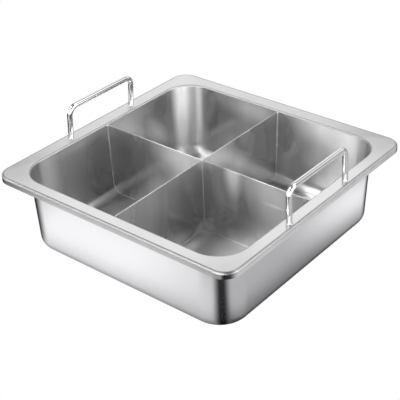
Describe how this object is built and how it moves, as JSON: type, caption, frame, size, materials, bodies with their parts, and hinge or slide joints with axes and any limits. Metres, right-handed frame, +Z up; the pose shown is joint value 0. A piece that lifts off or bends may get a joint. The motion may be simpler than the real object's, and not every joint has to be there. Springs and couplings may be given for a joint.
{
  "type": "divided hot pot pan",
  "caption": "Square stainless steel hot pot pan, welded dividers splitting it into quarters, wide flat rim with turned-down edge, and a rod handle standing on the rim at each side.",
  "frame": {"origin": "under the middle of the floor, on the surface the pan rests on", "axes": "+Z up out of the pan, +X towards the right handle, +Y along the long divider"},
  "size_m": [0.4, 0.4, 0.1695],
  "materials": {
    "pan_steel": "satin brushed",
    "divider_steel": "satin brushed",
    "handle_steel": "polished"
  },
  "bodies": {
    "root": {"pan": "pan_steel", "divider_long": "divider_steel", "divider_right": "divider_steel", "divider_left": "divider_steel", "handle_left": "handle_steel", "handle_right": "handle_steel"}
  },
  "joints": []
}
